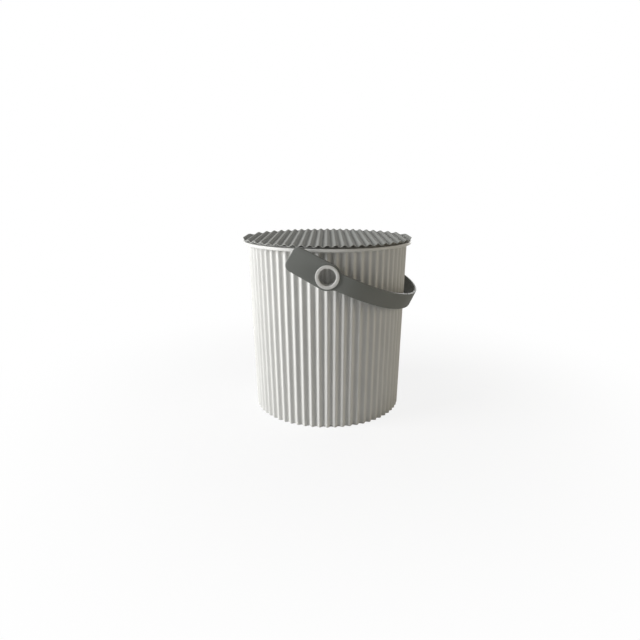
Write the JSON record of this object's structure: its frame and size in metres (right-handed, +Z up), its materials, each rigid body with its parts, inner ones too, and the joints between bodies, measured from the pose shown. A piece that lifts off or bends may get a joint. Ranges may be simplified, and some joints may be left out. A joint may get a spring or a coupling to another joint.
{
  "type": "bucket with lid",
  "caption": "Round ribbed plastic storage bucket with a corrugated lift-off lid and a swinging strap handle.",
  "frame": {"origin": "centre of the bucket's underside, on the surface it stands on", "axes": "+Z up along the bucket's axis, Y along the axis through the two handle hubs, handle lowered towards +X"},
  "size_m": [0.2517, 0.2578, 0.2504],
  "materials": {
    "bucket_plastic": "satin",
    "lid_plastic": "satin",
    "handle_plastic": "satin"
  },
  "bodies": {
    "bucket": {"bucket": "bucket_plastic", "lid": "lid_plastic"},
    "handle": {"handle": "handle_plastic"}
  },
  "joints": [
    {"name": "handle_swing", "type": "hinge", "parent": "bucket", "child": "handle", "pos_m": [0, 0, 0.211], "axis": [0, -1, 0], "range_deg": [0, 219]}
  ]
}
